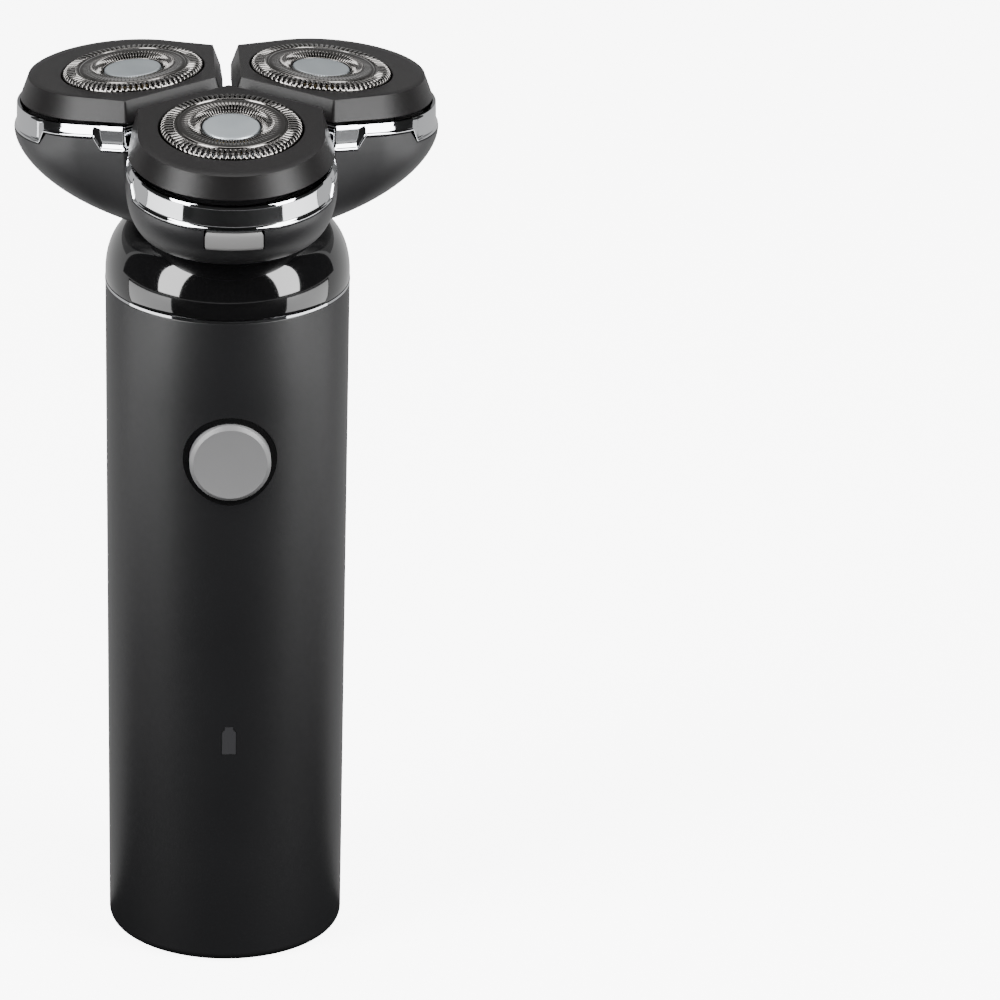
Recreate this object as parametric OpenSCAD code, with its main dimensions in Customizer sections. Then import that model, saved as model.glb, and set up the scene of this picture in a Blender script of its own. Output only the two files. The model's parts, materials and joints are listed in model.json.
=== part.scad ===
// Rotary electric shaver with a cylindrical handle and a head of three floating cutters.
// The handle stands on its base: the origin is the centre of the base, +Z is up, and
// the power button and the release tab face -Y. All sizes are in millimetres.

/* [Handle] */
// Radius of the handle at its base
handle_base_r = 19.4; // [18.5:0.1:22]
// Radius of the handle at its top
handle_top_r = 20; // [19:0.1:22]
// Height of the handle shell
handle_h = 115.3; // [112:0.5:150]
// Wall of the handle shell
handle_wall = 1.6; // [1.2:0.1:2]
// Rounding of the bottom edge
edge_r = 1.5; // [1:0.1:2]
// Radius of the underside plate
base_cap_r = 17.5; // [16.5:0.1:17.6]

/* [Controls] */
// Radius of the power button
button_r = 6.65; // [5:0.05:8]
// Height of the power button above the base
button_z = 91; // [80:0.5:98]
// How far the button stands out of the handle
button_proud = 1.2; // [0.9:0.1:2]
// Travel of the power button and of the release tab
press_travel = 0.7; // [0.4:0.1:0.8]
// Height of the battery light above the base
light_z = 40.6; // [30:0.5:60]
// Width of the release tab
release_w = 9.3; // [7:0.1:11]

/* [Collar and neck] */
// Height of the glossy collar
collar_h = 9.2; // [8:0.1:12]
// Radius of the collar's top edge
collar_top_r = 15.5; // [13.5:0.1:16.5]
// Radius of the neck that plugs into the collar
spigot_r = 9; // [8:0.1:10]
// Depth that the neck plugs in
spigot_depth = 7.6; // [6:0.1:8]

/* [Head] */
// Distance from the shaver's axis to the centre of each comb
pod_radius = 17.8; // [17.4:0.1:19]
// Outward tilt of each cutter
pod_tilt = 5.5; // [3:0.5:7]
// Height of the comb tops above the collar
head_h = 24.2; // [23:0.1:27]
// Radius of the round part of a cap's lower edge
cap_r = 16.6; // [16:0.1:17]
// Radius of the round part of the lower shell's rim
rim_r = 17.1; // [16.9:0.1:17.4]
// Depth of the lower shell's bowls below the rim
bowl_depth = 13.6; // [12.5:0.1:14]

/* [Cutters] */
// Radius of a comb
comb_r = 11.5; // [11:0.1:11.8]
// Slots in each of a comb's two tracks
comb_slots = 30; // [20:1:60]
// Blades on each cutter
blade_count = 12; // [8:1:18]

/* [Gears] */
// Teeth of the sun gear
sun_teeth = 15; // [12:3:18]
// Teeth of each planet gear
planet_teeth = 28; // [26:2:30]

/* [Clearances] */
// Radial clearance of a shaft or pin that turns in a bore
running_gap = 0.05; // [0.02:0.01:0.08]
// Radial clearance of a part that slides
sliding_gap = 0.15; // [0.1:0.05:0.25]
// Gap between neighbouring pieces that don't touch
free_gap = 0.3; // [0.2:0.05:0.4]

/* [Hidden] */
$fn = 96;
slack = 0.01;

// Handle levels
seam_h = 0.4;
base_cap_h = 3;
inner_top_r = handle_top_r - handle_wall;
inner_base_r = handle_base_r - handle_wall;
collar_z = handle_h + seam_h;
collar_top_z = collar_z + collar_h;
comb_z = collar_top_z + head_h;
handle_r_at_button = handle_base_r + (handle_top_r - handle_base_r) * button_z / handle_h;
handle_r_at_light = handle_base_r + (handle_top_r - handle_base_r) * light_z / handle_h;
bezel_wall = 0.9;

// Inlet: a two-pin socket in the base
inlet_w = 12.6;
inlet_d = 7.2;
inlet_depth = 11;
inlet_wall = 1.6;
inlet_pin_r = 1.1;
inlet_pin_pitch = 5.6;
inlet_pin_z = 4.5;
inlet_pin_h = inlet_depth - inlet_pin_z - 0.3;
inlet_root_r = inlet_pin_r - 0.2;

// Inner chassis, battery and board
chassis_r = inner_base_r - 0.5;
shelf_h = 1.6;
battery_r = 9.1;
battery_h = handle_h - 50.3;
battery_y = 5.5;
shelf_low_z = 17;
battery_z = shelf_low_z + shelf_h + 0.6;
shelf_high_z = battery_z + battery_h + 0.6;
board_y = -12.6;
board_t = 1.6;
board_w = 20;

// Motor
motor_r = 10;
motor_wall = 0.8;
motor_z = shelf_high_z + shelf_h;
motor_h = 24;
shaft_r = 1;
rotor_r = 7;
magnet_t = 1.4;
mount_h = 1.8;
coupling_z = collar_z + 1.6;

// Pods: every level is measured along the pod's own axis from the comb's top
cap_top = -0.7;
cap_bottom = -4.9;
band_top = -5.8;
rim_level = -9.5;
plate_top = rim_level + 1.1;
pivot_level = -7;
cap_shift = 2.5;
rim_shift = 3.5;
corner_x = -7.1;
corner_y = 14.6;
apex_x = -15.6;
corner_r = 1.2;
tab_h = 2.5;
tab_base = 5.9;
tab_top = 4.5;
pod_angles = [-90, 30, 150];
spindle_radius = pod_radius + pivot_level * sin(pod_tilt);

// Comb profile
comb_t = 0.35;
hub_ring_r = 5.7;
hub_disc_r = 4.7;
groove_r = 8.9;
groove_w = 0.5;
comb_flange_r = 12.3;
cutter_r = 10.9;
cutter_gap = 0.12;
cutter_axle_r = 1.5;

// Cutter frame: a ring under each cutter
frame_hole_r = 12.9;
ring_wall = 1.5;
ring_h = 0.9;

// Gears
plate_z = collar_top_z + 4.9;
gear_z = plate_z + 4.2;
gear_t = 2.4;
gear_module = 2 * spindle_radius / (sun_teeth + planet_teeth);
cover_z = gear_z + gear_t + 0.25;

// Rear hinge of the cutter frame
hinge_y = pod_radius + 10.8;
hinge_z = comb_z - 13.7;
hinge_pin_r = 0.8;
knuckle_r = 1.9;
knuckle_half = 1.9;
release_z = comb_z - 14.35;

// ---------------------------------------------------------------- helpers

// A tube about Z between two heights
module tube(outer, inner, low, high) {
    translate([0, 0, low])
        difference() {
            cylinder(h = high - low, r = outer);
            translate([0, 0, -slack]) cylinder(h = high - low + 2 * slack, r = inner);
        }
}

// A rounded slot shape, lying along X
module racetrack(width, depth) {
    union() {
        square([width - depth, depth], center = true);
        for (side = [-1, 1])
            translate([side * (width - depth) / 2, 0]) circle(d = depth);
    }
}

// Moves its children, drawn about the comb's top, to one of the three pods
module at_pod(index) {
    rotate([0, 0, pod_angles[index]])
        translate([pod_radius, 0, comb_z])
            rotate([0, pod_tilt, 0])
                children();
}

// One lobe's outline as a solid: a round outer end, two corners and an inner apex.
// It narrows from the low level to the high level by the inset. The corners and the apex
// lean outward with the pod, so that neighbouring lobes keep their distance.
module lobe(low, high, radius, shift, inset, grow) {
    h = high - low;
    lean = -low * sin(pod_tilt);
    hull() {
        translate([shift, 0, low])
            cylinder(h = h, r1 = radius, r2 = radius - inset, $fn = 64);
        for (side = [-1, 1])
            translate([corner_x + lean, side * (corner_y + grow), low])
                lobe_corner(h, inset);
        translate([apex_x + lean - min(grow, 0), 0, low])
            lobe_corner(h, inset);
    }
}

// A small cone that rounds one corner of a lobe
module lobe_corner(h, inset) {
    cylinder(h = h, r1 = corner_r, r2 = max(corner_r - inset * 0.6, 0.15), $fn = 24);
}

// The involute of a circle, as a point at an unwinding angle in degrees
function involute(base, a) = [
    base * (cos(a) + a * PI / 180 * sin(a)),
    base * (sin(a) - a * PI / 180 * cos(a))
];

// The unwinding angle at which an involute reaches a radius
function unwind(base, r) = sqrt(max(pow(r / base, 2) - 1, 0)) * 180 / PI;

function gear_tip_r(teeth) = gear_module * (teeth / 2 + 0.9);

function turn(p, a) = [p[0] * cos(a) - p[1] * sin(a), p[0] * sin(a) + p[1] * cos(a)];

// One gear tooth's outline, centred on the X axis, from the root to the tip and back
function tooth(teeth, backlash) =
    let (pitch = gear_module * teeth / 2,
         base = pitch * cos(22),
         root = pitch - 1.2 * gear_module,
         tip = pitch + 0.9 * gear_module,
         at_pitch = involute(base, unwind(base, pitch)),
         half = 90 / teeth - backlash / pitch * 90 / PI,
         lean = atan2(at_pitch[1], at_pitch[0]) + half,
         start = max(root, base),
         flank = [for (k = [0:4])
             turn(involute(base, unwind(base, start + (tip - start) * k / 4)), -lean)])
    concat(
        [turn([root, 0], atan2(flank[0][1], flank[0][0]))],
        flank,
        [for (k = [4:-1:0]) [flank[k][0], -flank[k][1]]],
        [turn([root, 0], -atan2(flank[0][1], flank[0][0]))]
    );

// A spur gear with a tooth centred at the given angle
module gear(teeth, start) {
    backlash = 0.16;
    one = tooth(teeth, backlash);
    linear_extrude(gear_t)
        polygon([for (n = [0:teeth - 1]) for (p = one) turn(p, start + n * 360 / teeth)]);
}

// ---------------------------------------------------------------- handle

// Tapered tube with a rounded bottom edge, a round hole for the button and a window
module handle_shell() {
    inner_r = base_cap_r + 0.1;
    color("#1c1c1e")
        difference() {
            union() {
                rotate_extrude()
                    polygon([
                        [inner_r, 0.2],
                        [handle_base_r - edge_r, 0.2],
                        [handle_base_r, edge_r + 0.2],
                        [handle_top_r, handle_h],
                        [inner_top_r, handle_h],
                        [inner_base_r, base_cap_h + 3.2],
                        [inner_r, base_cap_h + 3]
                    ]);
                // the round part of the bottom edge
                translate([0, 0, edge_r + 0.2])
                    rotate_extrude()
                        translate([handle_base_r - edge_r, 0])
                            intersection() {
                                circle(r = edge_r);
                                translate([0, -edge_r]) square(edge_r);
                            }
            }
            translate([0, 0, button_z])
                rotate([90, 0, 0])
                    cylinder(h = handle_top_r * 2, r = button_r + sliding_gap + bezel_wall);
            light_window(0.1);
        }
}

// The battery symbol that the light guide and its window share, cut through the wall
module light_window(gap) {
    translate([0, -handle_r_at_light - 1, light_z])
        rotate([-90, 0, 0])
            linear_extrude(handle_wall + 2)
                union() {
                    square([2.3 + 2 * gap, 4.4 + 2 * gap], center = true);
                    translate([0, -2.6]) square([1.4 + 2 * gap, 1.2 + 2 * gap], center = true);
                }
}

// Underside plate with the mouth of the inlet
module base_cap() {
    color("#1a1a1c")
        difference() {
            union() {
                cylinder(h = base_cap_h, r = base_cap_r);
                tube(base_cap_r - 1.2, base_cap_r - 3, base_cap_h - slack, base_cap_h + 3);
            }
            translate([0, 0, -slack])
                linear_extrude(base_cap_h + 2 * slack)
                    racetrack(inlet_w, inlet_d);
        }
}

// Rubber ring round the underside plate
module base_seal() {
    ring_r = 0.5;
    color("#2b2b2b")
        translate([0, 0, base_cap_h + 1.5])
            rotate_extrude()
                translate([base_cap_r - 1.2 + ring_r + 0.02, 0])
                    circle(r = ring_r, $fn = 24);
}

// Socket body behind the inlet's mouth
module inlet_housing() {
    color("#232325")
        difference() {
            translate([0, 0, base_cap_h])
                linear_extrude(inlet_depth - base_cap_h + inlet_wall)
                    racetrack(inlet_w + 2 * inlet_wall, inlet_d + 2 * inlet_wall);
            translate([0, 0, base_cap_h - slack])
                linear_extrude(inlet_depth - base_cap_h + slack)
                    racetrack(inlet_w, inlet_d);
            for (side = [-1, 1])
                translate([side * inlet_pin_pitch / 2, 0, inlet_depth - slack])
                    cylinder(h = inlet_wall + 2 * slack, r = inlet_root_r);
        }
}

// One contact pin of the inlet
module inlet_pin(side) {
    color("#c9b37a")
        translate([side * inlet_pin_pitch / 2, 0, inlet_pin_z])
            union() {
                cylinder(h = inlet_pin_h, r = inlet_pin_r);
                sphere(r = inlet_pin_r);
                translate([0, 0, inlet_pin_h - slack])
                    cylinder(h = inlet_wall + 2.4, r = inlet_root_r);
            }
}

// Inner frame: two shelves joined by a curved back that holds the battery
module chassis() {
    back_z = shelf_low_z;
    color("#303033")
        difference() {
            union() {
                translate([0, 0, shelf_low_z]) cylinder(h = shelf_h, r = chassis_r);
                translate([0, 0, shelf_high_z]) cylinder(h = shelf_h, r = chassis_r);
                intersection() {
                    tube(chassis_r, chassis_r - 1.6, back_z, shelf_high_z + shelf_h);
                    translate([-chassis_r, 6, back_z])
                        cube([2 * chassis_r, chassis_r, shelf_high_z + shelf_h - back_z]);
                }
            }
            // room for the board on the front side
            translate([-chassis_r, -chassis_r - 1, shelf_low_z - 1])
                cube([2 * chassis_r, chassis_r + 1 + board_y + board_t + 0.3, shelf_high_z]);
            // the tail of the rotor shaft turns in the upper shelf
            translate([0, 0, shelf_high_z - 1])
                cylinder(h = shelf_h + 2, r = shaft_r + 1);
        }
}

// Round cell with a raised positive end
module battery_cell() {
    color("#2f6f9f")
        translate([0, battery_y, battery_z])
            union() {
                cylinder(h = battery_h - 1, r = battery_r);
                translate([0, 0, battery_h - 1 - slack]) cylinder(h = 1, r = 4);
            }
}

// Nickel strips that carry the cell's two ends to the board
module battery_tabs() {
    tab_w = 5;
    tab_t = 0.3;
    tab_y = board_y + board_t + 0.4;
    color("#b9b9b4")
        for (z = [battery_z - tab_t - 0.05, battery_z + battery_h + 0.05])
            union() {
                translate([-tab_w / 2, tab_y, z]) cube([tab_w, battery_y - tab_y, tab_t]);
            }
}

// Board with the circuit that charges the cell and drives the motor
module circuit_board() {
    color("#1f6b45")
        union() {
            translate([-board_w / 2, board_y, shelf_low_z + 2])
                cube([board_w, board_t, 84]);
            translate([-4, board_y + board_t - slack, 66]) cube([8, 0.9, 6]);
            translate([-3, board_y - 1.2, 56]) cube([6, 1.2 + slack, 5]);
        }
}

// Push switch behind the power button
module power_switch() {
    color("#8c8c8c")
        union() {
            translate([-3, board_y - 1.8, button_z - 3]) cube([6, 1.8, 6]);
            translate([0, board_y - 1.7, button_z])
                rotate([90, 0, 0]) cylinder(h = 0.8, r = 1.6, $fn = 48);
        }
}

// Light that shows the battery state
module status_led() {
    color("#dfe8ee")
        translate([-0.8, board_y - 0.8, light_z - 1.6]) cube([1.6, 0.8, 3.2]);
}

// Clear guide in the shape of a battery symbol, flush with the handle
module light_guide() {
    color("#8b8f94")
        difference() {
            light_window(0);
            // trims the front to the handle's curve
            difference() {
                translate([-6, -handle_r_at_light - 3, light_z - 6]) cube([12, 8, 12]);
                translate([0, 0, light_z - 7]) cylinder(h = 14, r = handle_r_at_light);
            }
        }
}

// Glossy ring round the power button
module button_bezel() {
    outer = button_r + sliding_gap + bezel_wall - 0.05;
    color("#050506")
        intersection() {
            translate([0, 0, button_z])
                rotate([90, 0, 0])
                    difference() {
                        cylinder(h = handle_top_r + 2, r = outer);
                        translate([0, 0, -1]) cylinder(h = handle_top_r + 4, r = button_r + sliding_gap);
                    }
            difference() {
                translate([0, 0, button_z - 10]) cylinder(h = 20, r = handle_r_at_button + 0.1);
                translate([0, 0, button_z - 11])
                    cylinder(h = 22, r = handle_r_at_button - handle_wall - 0.9);
            }
        }
}

// Motor housing, closed at both ends, with a bearing hole for the shaft in each
module motor_can() {
    color("#a7a9ab")
        translate([0, 0, motor_z])
            difference() {
                cylinder(h = motor_h, r = motor_r);
                translate([0, 0, motor_wall])
                    cylinder(h = motor_h - 2 * motor_wall, r = motor_r - motor_wall);
                translate([0, 0, -1]) cylinder(h = motor_h + 2, r = shaft_r + running_gap);
            }
}

// Two curved magnets inside the housing
module motor_magnets() {
    outer = motor_r - motor_wall - 0.02;
    color("#3a3a3d")
        for (side = [0, 180])
            rotate([0, 0, side])
                intersection() {
                    tube(outer, outer - magnet_t, motor_z + 4, motor_z + motor_h - 4);
                    translate([2, -motor_r, motor_z]) cube([motor_r, 2 * motor_r, motor_h]);
                }
}

// Plate that holds the motor under the collar
module motor_mount() {
    z = collar_z - mount_h;
    color("#2c2c2f")
        difference() {
            union() {
                tube(inner_top_r - 0.4, shaft_r + 2, z, z + mount_h);
                tube(motor_r + 1.6, motor_r + 0.1, z - 6, z + slack);
            }
        }
}

// Glossy shoulder that narrows to the neck and holds the head's spigot
module collar() {
    shoulder_h = 1.2;
    steps = 12;
    rise = collar_h - shoulder_h;
    run = handle_top_r - collar_top_r;
    color("#0a0a0c")
        rotate_extrude()
            polygon(concat(
                [[spigot_r + sliding_gap, collar_z]],
                [[handle_top_r, collar_z]],
                [for (k = [0:steps])
                    let (a = 90 * k / steps)
                    [handle_top_r - run * (1 - cos(a)), collar_z + shoulder_h + rise * sin(a)]],
                [[spigot_r + sliding_gap, collar_top_z]]
            ));
}

// Bright ring in the seam between the handle and the collar
module seam_ring() {
    color("#b8babd")
        tube(handle_top_r + 0.05, inner_top_r, handle_h, collar_z);
}

// ---------------------------------------------------------------- power button

// Round button with a chamfered rim and a stem that reaches the switch
module power_button() {
    face_y = -handle_r_at_button - button_proud;
    chamfer = 0.5;
    body_h = button_proud + handle_wall + 0.6;
    stem_h = -face_y - body_h + board_y - 1.8 - 0.8 - press_travel - 0.1;
    color("#8f9091")
        translate([0, face_y, button_z])
            rotate([-90, 0, 0])
                union() {
                    cylinder(h = chamfer, r1 = button_r - chamfer, r2 = button_r);
                    translate([0, 0, chamfer]) cylinder(h = body_h - chamfer, r = button_r);
                    translate([0, 0, body_h - slack]) cylinder(h = stem_h, r = 1.4);
                }
}

// ---------------------------------------------------------------- motor's turning parts

// Armature on its shaft
module motor_rotor() {
    color("#77513a")
        union() {
            translate([0, 0, motor_z + 3.5]) cylinder(h = motor_h - 7, r = rotor_r);
            translate([0, 0, motor_z - 0.8]) cylinder(h = coupling_z + 2 - motor_z, r = shaft_r);
        }
}

// Plug on the motor shaft whose flat tongue turns the head
module drive_coupling() {
    color("#d8d8d2")
        difference() {
            union() {
                translate([0, 0, coupling_z]) cylinder(h = 2.4, r = 3.6);
                translate([-2.6, -1, coupling_z + 2.4 - slack]) cube([5.2, 2, 2.8]);
            }
            translate([0, 0, coupling_z - slack]) cylinder(h = 1.25, r = shaft_r);
        }
}

// ---------------------------------------------------------------- head base

// One bowl's radius at a share of its depth
function bowl_r(r, share) = r * pow(1 - pow(share, 1.7), 0.66);

// One bowl of the lower shell, turned about its own axis
module bowl(r, depth) {
    steps = 14;
    translate([rim_shift, 0, rim_level])
        rotate_extrude()
            polygon(concat(
                [[0, 0]],
                [for (k = [0:steps])
                    let (share = sin(90 * k / steps))
                    [bowl_r(r, share), -depth * share]]
            ));
}

// The flat-topped wedge that fills the middle between the bowls
module bowl_wedge(grow, depth) {
    mirror([0, 0, 1])
        translate([0, 0, -rim_level])
            hull() {
                for (side = [-1, 1])
                    translate([corner_x + 0.3, side * (corner_y + 0.5 + grow), 0])
                        cylinder(h = depth * 0.5, r1 = corner_r, r2 = 0.4, $fn = 16);
                translate([-18.6 - grow, 0, 0]) cylinder(h = depth * 0.85, r = 0.6, $fn = 12);
                translate([4, 0, 0]) cylinder(h = depth * 0.85, r = 9 + grow, $fn = 32);
            }
}

// Lower shell: three joined bowls, open on top, with a round foot on the neck
module head_shell() {
    wall = 1.5;
    foot_z = collar_top_z + 0.9;
    color("#242426")
        difference() {
            union() {
                for (n = [0:2]) at_pod(n) {
                    bowl(rim_r, bowl_depth);
                    bowl_wedge(0, bowl_depth);
                    flank_tabs();
                }
                translate([0, 0, foot_z]) cylinder(h = 6, r1 = 13.4, r2 = 17);
                hinge_arms();
            }
            for (n = [0:2]) at_pod(n)
                translate([0, 0, slack]) bowl(rim_r - wall, bowl_depth - wall);
            // room for the rings of the cutter frame; the rear two move back as it swings open
            ring_room(0);
            for (n = [1, 2])
                hull() {
                    ring_room(n);
                    swing(20) ring_room(n);
                    swing(36) ring_room(n);
                }
            // room for the three outer gears
            for (n = [0:2])
                rotate([0, 0, pod_angles[n]])
                    translate([spindle_radius, 0, gear_z - free_gap])
                        cylinder(h = 8, r = gear_tip_r(planet_teeth) + free_gap);
            // the round room in the middle for the gears
            translate([0, 0, plate_z - 0.4]) cylinder(h = 14, r = 14);
            // seat of the neck tube
            translate([0, 0, foot_z - 1]) cylinder(h = 10, r = spigot_r + 0.02);
            // window of the release tab
            translate([-release_w / 2 - 0.2, -rim_r - 26, release_z - 0.2])
                cube([release_w + 0.4, 12, 8]);
            // notch for the hinge arm of the cutter frame
            translate([-knuckle_half - 0.3, 6, hinge_z - knuckle_r - 0.4])
                cube([2 * knuckle_half + 0.6, 30, 14]);
            // bore of the hinge pin
            translate([-10, hinge_y, hinge_z]) rotate([0, 90, 0]) cylinder(h = 20, r = hinge_pin_r);
        }
}

// Room for one ring of the cutter frame
module ring_room(index) {
    at_pod(index)
        translate([0, 0, rim_level - ring_h - free_gap])
            cylinder(h = 6, r = frame_hole_r + ring_wall + free_gap, $fn = 72);
}

// Turns its children about the rear hinge
module swing(angle) {
    translate([0, hinge_y, hinge_z])
        rotate([-angle, 0, 0])
            translate([0, -hinge_y, -hinge_z])
                children();
}

// The side view of a flank tab, grown by a gap
module tab_outline(gap) {
    polygon([
        [-tab_base - gap, -0.4],
        [tab_base + gap, -0.4],
        [tab_top + gap, tab_h + gap],
        [-tab_top - gap, tab_h + gap]
    ]);
}

// Two raised tabs on a bowl's rim, one on each flank, that key the chrome band
module flank_tabs() {
    intersection() {
        translate([rim_shift, 0, rim_level - 0.4])
            difference() {
                cylinder(h = tab_h + 0.4, r1 = rim_r, r2 = rim_r - 0.2);
                translate([0, 0, -1]) cylinder(h = tab_h + 3, r = rim_r - 1.3);
            }
        translate([rim_shift, rim_r + 1, rim_level])
            rotate([90, 0, 0]) linear_extrude(2 * rim_r + 2) tab_outline(0);
    }
}

// Room for the flank tabs in a chrome band
module flank_notches() {
    translate([rim_shift, rim_r + 2, rim_level])
        rotate([90, 0, 0]) linear_extrude(2 * rim_r + 4) tab_outline(0.12);
}

// Two arms behind the shell that carry the hinge pin
module hinge_arms() {
    for (side = [-1, 1])
        translate([side * (knuckle_half + 1.9), 0, 0]) {
            translate([-1.5, 14, hinge_z - knuckle_r])
                cube([3, hinge_y - 14, 2 * knuckle_r - 0.6]);
            translate([-1.5, hinge_y, hinge_z])
                rotate([0, 90, 0]) cylinder(h = 3, r = knuckle_r);
        }
}

// Neck tube that plugs into the collar
module neck_spigot() {
    color("#2a2a2c")
        union() {
            tube(spigot_r, spigot_r - 1.8, collar_top_z - spigot_depth, plate_z - 0.05);
        }
}

// Soft ring in the gap between the collar and the lower shell
module neck_seal() {
    color("#161617")
        tube(12.6, spigot_r + 0.1, collar_top_z + 0.05, collar_top_z + 0.85);
}

// Plate under the gears, with bearings for the input shaft and the three spindles
module gear_plate() {
    t = 1.6;
    color("#3a3a3c")
        difference() {
            union() {
                translate([0, 0, plate_z]) cylinder(h = t, r = 13.5);
                for (n = [0:2])
                    rotate([0, 0, pod_angles[n]])
                        translate([spindle_radius, 0, plate_z]) cylinder(h = t, r = 3.8);
            }
            translate([0, 0, plate_z - 1]) cylinder(h = t + 2, r = 1.5 + running_gap);
            for (n = [0:2])
                rotate([0, 0, pod_angles[n]])
                    translate([spindle_radius, 0, plate_z - 1])
                        cylinder(h = t + 2, r = 1.2 + running_gap);
        }
}

// Splash cover over the gears, pierced by the three spindles
module gear_cover() {
    t = 0.8;
    color("#1e1e20")
        difference() {
            union() {
                translate([0, 0, cover_z]) cylinder(h = t, r = 13.5);
                for (n = [0:2])
                    rotate([0, 0, pod_angles[n]])
                        translate([spindle_radius, 0, cover_z]) cylinder(h = t, r = 12.2);
            }
            for (n = [0:2])
                rotate([0, 0, pod_angles[n]])
                    translate([spindle_radius, 0, cover_z - 1])
                        cylinder(h = t + 2, r = 2 + running_gap);
            // room for the hinge arm of the cutter frame
            translate([-knuckle_half - 0.5, 9, cover_z - 1]) cube([2 * knuckle_half + 1, 20, 4]);
        }
}

// Pin of the rear hinge
module hinge_pin() {
    half = knuckle_half + 3.4;
    color("#9a9c9e")
        translate([-half, hinge_y, hinge_z])
            rotate([0, 90, 0])
                cylinder(h = 2 * half, r = hinge_pin_r);
}

// ---------------------------------------------------------------- gear train

// Socket and shaft that carry the motor's turning into the head
module input_dog() {
    low = coupling_z + 2.8;
    color("#d8d8d2")
        difference() {
            union() {
                translate([0, 0, low]) cylinder(h = 5, r = 4.6);
                translate([0, 0, low + 5 - slack]) cylinder(h = gear_z - low - 5, r = 1.5);
            }
            translate([-3, -1.4, low - slack]) cube([6, 2.8, 2.9]);
        }
}

// Middle gear
module sun_gear() {
    color("#e4e2da")
        translate([0, 0, gear_z])
            gear(sun_teeth, pod_angles[0]);
}

// Outer gear on a spindle whose square tip turns a cutter
module planet(index) {
    tip_z = comb_z - 4.4;
    color("#e4e2da")
        rotate([0, 0, pod_angles[index]])
            translate([spindle_radius, 0, 0])
                union() {
                    translate([0, 0, gear_z]) gear(planet_teeth, 180 + 180 / planet_teeth);
                    translate([0, 0, plate_z + 0.2]) cylinder(h = 4, r = 1.2);
                    translate([0, 0, gear_z]) cylinder(h = 9, r = 2);
                    translate([0, 0, gear_z + 9 - slack])
                        rotate([0, 0, 45])
                            cylinder(h = tip_z - gear_z - 9, r1 = 2.4, r2 = 1.7, $fn = 4);
                }
}

// ---------------------------------------------------------------- release tab

// Tab in the front rim that is pressed to open the head
module release_tab() {
    z = release_z;
    h = 2.9;
    front_y = -(pod_radius + rim_shift + rim_level * sin(pod_tilt) + rim_r) - 0.15;
    color("#8e8f90")
        union() {
            intersection() {
                translate([-release_w / 2, front_y - 1, z]) cube([release_w, 4.2, h]);
                translate([0, front_y + rim_r, z - 1]) cylinder(h = h + 2, r = rim_r);
            }
            translate([-2, front_y + 2.8, z]) cube([4, 1.2, h - 0.2]);
        }
}

// ---------------------------------------------------------------- cutter frame

// Plate with an opening under each cutter, bearing ears for the pods and the hinge arm
module frame_plate() {
    rib_z = comb_z - 9.7;
    rib_t = 1.2;
    arm_y = 9.5;
    color("#2a2a2c")
        difference() {
            union() {
                for (n = [0:2]) at_pod(n) {
                    lobe(rim_level, plate_top, rim_r - 2.2, rim_shift, 0, -2.4);
                    translate([0, 0, rim_level - ring_h])
                        cylinder(h = ring_h + 0.05, r = frame_hole_r + ring_wall);
                    pod_ears();
                }
                // three ribs join the rings in the middle, under the rim
                translate([0, 0, rib_z]) cylinder(h = rib_t, r = 3.6);
                for (n = [0:2])
                    rotate([0, 0, pod_angles[n] + 60])
                        translate([0, -1.5, rib_z]) cube([12, 3, rib_t]);
                // the hinge arm drops from a rib and reaches back to the pin
                translate([-knuckle_half, arm_y, hinge_z - 0.6])
                    cube([2 * knuckle_half, 3, rib_z + rib_t - hinge_z + 0.6]);
                translate([-knuckle_half, arm_y, hinge_z - 0.6])
                    cube([2 * knuckle_half, hinge_y - arm_y, knuckle_r]);
                translate([-knuckle_half, hinge_y, hinge_z])
                    rotate([0, 90, 0]) cylinder(h = 2 * knuckle_half, r = knuckle_r);
            }
            for (n = [0:2]) at_pod(n) {
                translate([0, 0, rim_level - 3]) cylinder(h = 12, r = frame_hole_r);
                translate([0, 20, pivot_level])
                    rotate([90, 0, 0]) cylinder(h = 40, r = 0.8 + running_gap);
            }
            translate([-10, hinge_y, hinge_z])
                rotate([0, 90, 0]) cylinder(h = 20, r = hinge_pin_r + running_gap);
            // the rear edge is cut back to clear the shell's rear tabs as the frame swings
            translate([-2 * rim_r, hinge_y - 5.5, hinge_z + knuckle_r + 0.6])
                cube([4 * rim_r, 5.5, 8]);
        }
}

// Two ears that hold a pod's pins
module pod_ears() {
    for (side = [-1, 1])
        translate([-1.8, side * 14.1 - 0.6, rim_level + 0.5])
            cube([3.6, 1.2, pivot_level - rim_level + 1.1]);
}

// Mirror-bright band round one lobe, flared to a bead at the rim
module chrome_band(index) {
    color("#c9ccd0")
        at_pod(index)
            difference() {
                lobe(rim_level + 0.1, band_top, rim_r, rim_shift, 0.7, 0.4);
                lobe(rim_level - 1, band_top + 1, rim_r - 1.4, rim_shift, 0.5, -0.9);
                flank_notches();
            }
}

// ---------------------------------------------------------------- pods

// Cap round one comb, with a bevelled edge
module cap(index) {
    color("#3a3837")
        at_pod(index)
            difference() {
                lobe(cap_bottom, cap_top, cap_r, cap_shift, 2.4, 0);
                translate([0, 0, cap_bottom - 1]) cylinder(h = 6, r = comb_r + 0.12);
                translate([0, 0, cap_bottom - 1]) cylinder(h = 2.2, r = comb_flange_r + 0.45);
            }
}

// Comb: a thin steel dish with two slotted tracks and a rolled edge
module comb(index) {
    steps = 5;
    roll = 1;
    color("#b9bcc0")
        at_pod(index)
            difference() {
                rotate_extrude()
                    comb_profile(roll, steps);
                comb_slots(hub_ring_r + 0.3, groove_r - groove_w, comb_slots);
                comb_slots(groove_r + groove_w, comb_r - roll, comb_slots);
            }
}

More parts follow.
